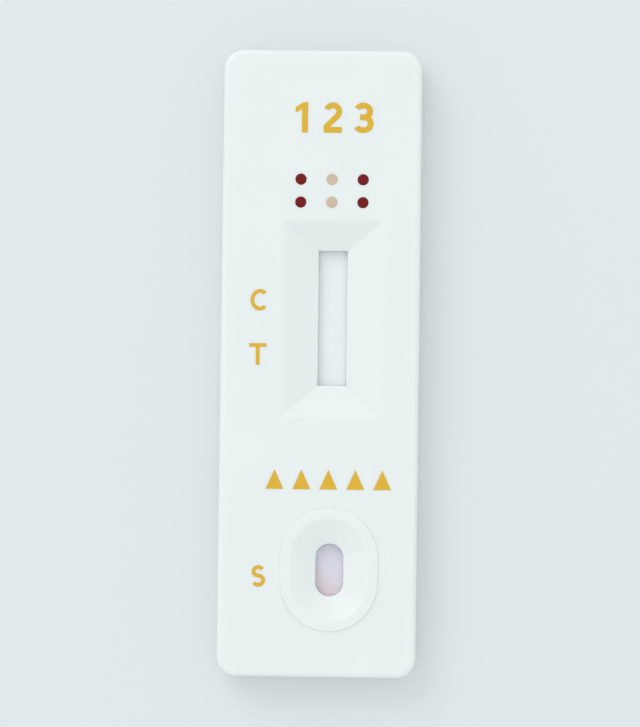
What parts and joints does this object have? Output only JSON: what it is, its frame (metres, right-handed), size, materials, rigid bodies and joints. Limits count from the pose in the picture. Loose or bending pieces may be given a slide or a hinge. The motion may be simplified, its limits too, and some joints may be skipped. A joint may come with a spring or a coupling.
{
  "type": "lateral flow cassette",
  "caption": "Flat white lateral flow test cassette: a moulded housing closed round a test strip, with a bevelled reading window and an oval sample well.",
  "frame": {"origin": "middle of the underside, which is the face it rests on", "axes": "+Z out of the printed face, +Y along the strip from the sample well towards the head end, +X to the right when the head end is at the top"},
  "size_m": [0.0222, 0.07, 0.005],
  "materials": {
    "housing": "satin",
    "card": "gloss",
    "membrane": "matte",
    "conjugate": "matte",
    "pad": "matte",
    "ink_gold": "satin",
    "ink_maroon": "satin",
    "ink_tan": "satin"
  },
  "bodies": {
    "root": {"bottom_housing": "housing", "top_housing": "housing", "backing_card": "card", "membrane": "membrane", "conjugate_pad": "conjugate", "sample_pad": "pad", "absorbent_pad": "pad"}
  },
  "joints": []
}
